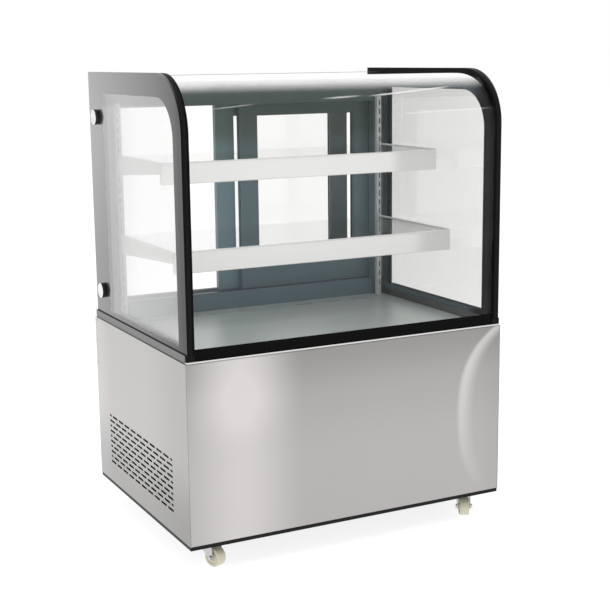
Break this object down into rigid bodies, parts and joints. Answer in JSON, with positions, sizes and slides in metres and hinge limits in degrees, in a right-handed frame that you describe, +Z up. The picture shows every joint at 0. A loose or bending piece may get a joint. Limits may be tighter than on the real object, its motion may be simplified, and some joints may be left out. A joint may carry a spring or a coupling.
{
  "type": "bakery display case",
  "caption": "Refrigerated bakery display case with a curved glass front, glass shelves, sliding rear doors, a steel machine compartment and casters.",
  "frame": {"origin": "on the floor under the middle of the case", "axes": "+Z up, the glass front faces -Y, +X to the right seen from the front"},
  "size_m": [0.912, 0.6666, 1.2],
  "materials": {
    "brushed_steel": "level brushed grain, satin",
    "black_steel": "black powder coat",
    "grey_aluminium": "grey anodised",
    "standard_grey": "light grey paint",
    "bordered_glass": "clear, with a black printed border",
    "clear_glass": "clear, polished edges",
    "black_spacer": "matt black spacer and seal",
    "black_frame": "satin black",
    "white_liner": "white foam-backed liner",
    "white_bracket": "white powder coat",
    "light_diffuser": "opal diffuser",
    "chrome": "polished",
    "zinc": "bright zinc plating",
    "cream_nylon": "moulded nylon",
    "compressor_black": "black enamel",
    "coil_aluminium": "mill finish fins",
    "black_plastic": "moulded",
    "switch_green": "translucent green"
  },
  "bodies": {
    "root": {"base_tray": "black_steel", "canopy_light": "light_diffuser", "compressor": "compressor_black", "condenser": "coil_aluminium", "cord_gland": "black_plastic", "deck_plate": "brushed_steel", "evaporator_coil": "coil_aluminium", "front_bent_glass": "bordered_glass", "front_left_caster_plate": "zinc", "front_panel": "brushed_steel", "front_right_caster_plate": "zinc", "front_trim_rail": "grey_aluminium", "insulated_tub": "white_liner", "left_clamp_knob_lower": "chrome", "left_clamp_knob_upper": "chrome", "left_glass_spacer": "black_spacer", "left_inner_pane": "bordered_glass", "left_outer_pane": "bordered_glass", "left_rear_post": "black_frame", "left_shelf_standard": "standard_grey", "left_side_panel": "brushed_steel", "left_trim_rail": "grey_aluminium", "lower_left_bracket": "white_bracket", "lower_light_bar": "light_diffuser", "lower_right_bracket": "white_bracket", "lower_shelf_glass": "clear_glass", "rear_header": "black_frame", "rear_left_caster_plate": "zinc", "rear_panel": "brushed_steel", "rear_right_caster_plate": "zinc", "rear_sill": "black_frame", "right_clamp_knob_lower": "chrome", "right_clamp_knob_upper": "chrome", "right_glass_spacer": "black_spacer", "right_inner_pane": "bordered_glass", "right_outer_pane": "bordered_glass", "right_rear_post": "black_frame", "right_shelf_standard": "standard_grey", "right_side_panel": "brushed_steel", "right_trim_rail": "grey_aluminium", "thermostat": "black_plastic", "upper_left_bracket": "white_bracket", "upper_light_bar": "light_diffuser", "upper_right_bracket": "white_bracket", "upper_shelf_glass": "clear_glass"},
    "left_door": {"left_door_frame": "black_frame", "left_door_glass": "clear_glass"},
    "right_door": {"right_door_frame": "black_frame", "right_door_glass": "clear_glass"},
    "condenser_fan": {"condenser_fan": "black_plastic"},
    "light_switch": {"light_switch": "black_plastic"},
    "power_switch": {"power_switch": "switch_green"},
    "front_left_swivel": {"front_left_fork": "zinc"},
    "front_left_wheel": {"front_left_wheel": "cream_nylon"},
    "front_right_swivel": {"front_right_fork": "zinc"},
    "front_right_wheel": {"front_right_wheel": "cream_nylon"},
    "rear_left_swivel": {"rear_left_fork": "zinc"},
    "rear_left_wheel": {"rear_left_wheel": "cream_nylon"},
    "rear_right_swivel": {"rear_right_fork": "zinc"},
    "rear_right_wheel": {"rear_right_wheel": "cream_nylon"}
  },
  "joints": [
    {"name": "left_door_slide", "type": "slide", "parent": "root", "child": "left_door", "axis": [1, 0, 0], "range_m": [-0.303, 0.063]},
    {"name": "right_door_slide", "type": "slide", "parent": "root", "child": "right_door", "axis": [1, 0, 0], "range_m": [-0.366, 0]},
    {"name": "front_left_swivel_turn", "type": "hinge", "parent": "root", "child": "front_left_swivel", "pos_m": [-0.3765, -0.2775, 0.045], "axis": [0, 0, 1], "continuous": true},
    {"name": "front_left_wheel_spin", "type": "hinge", "parent": "front_left_swivel", "child": "front_left_wheel", "pos_m": [-0.36976, -0.29419, 0.025], "axis": [0.9272, 0.3746, 0], "continuous": true},
    {"name": "front_right_swivel_turn", "type": "hinge", "parent": "root", "child": "front_right_swivel", "pos_m": [0.3765, -0.2775, 0.045], "axis": [0, 0, 1], "continuous": true},
    {"name": "front_right_wheel_spin", "type": "hinge", "parent": "front_right_swivel", "child": "front_right_wheel", "pos_m": [0.36805, -0.29339, 0.025], "axis": [0.8829, -0.4695, 0], "continuous": true},
    {"name": "rear_left_swivel_turn", "type": "hinge", "parent": "root", "child": "rear_left_swivel", "pos_m": [-0.3765, 0.2775, 0.045], "axis": [0, 0, 1], "continuous": true},
    {"name": "rear_left_wheel_spin", "type": "hinge", "parent": "rear_left_swivel", "child": "rear_left_wheel", "pos_m": [-0.36271, 0.28907, 0.025], "axis": [-0.6428, 0.766, 0], "continuous": true},
    {"name": "rear_right_swivel_turn", "type": "hinge", "parent": "root", "child": "rear_right_swivel", "pos_m": [0.3765, 0.2775, 0.045], "axis": [0, 0, 1], "continuous": true},
    {"name": "rear_right_wheel_spin", "type": "hinge", "parent": "rear_right_swivel", "child": "rear_right_wheel", "pos_m": [0.38758, 0.29168, 0.025], "axis": [-0.788, 0.6157, 0], "continuous": true},
    {"name": "condenser_fan_spin", "type": "hinge", "parent": "root", "child": "condenser_fan", "pos_m": [-0.2735, 0, 0.195], "axis": [1, 0, 0], "continuous": true},
    {"name": "light_switch_rock", "type": "hinge", "parent": "root", "child": "light_switch", "pos_m": [-0.225, 0.3177, 0.328], "axis": [1, 0, 0], "range_deg": [0, 16]},
    {"name": "power_switch_rock", "type": "hinge", "parent": "root", "child": "power_switch", "pos_m": [-0.175, 0.3177, 0.328], "axis": [1, 0, 0], "range_deg": [0, 16]}
  ]
}
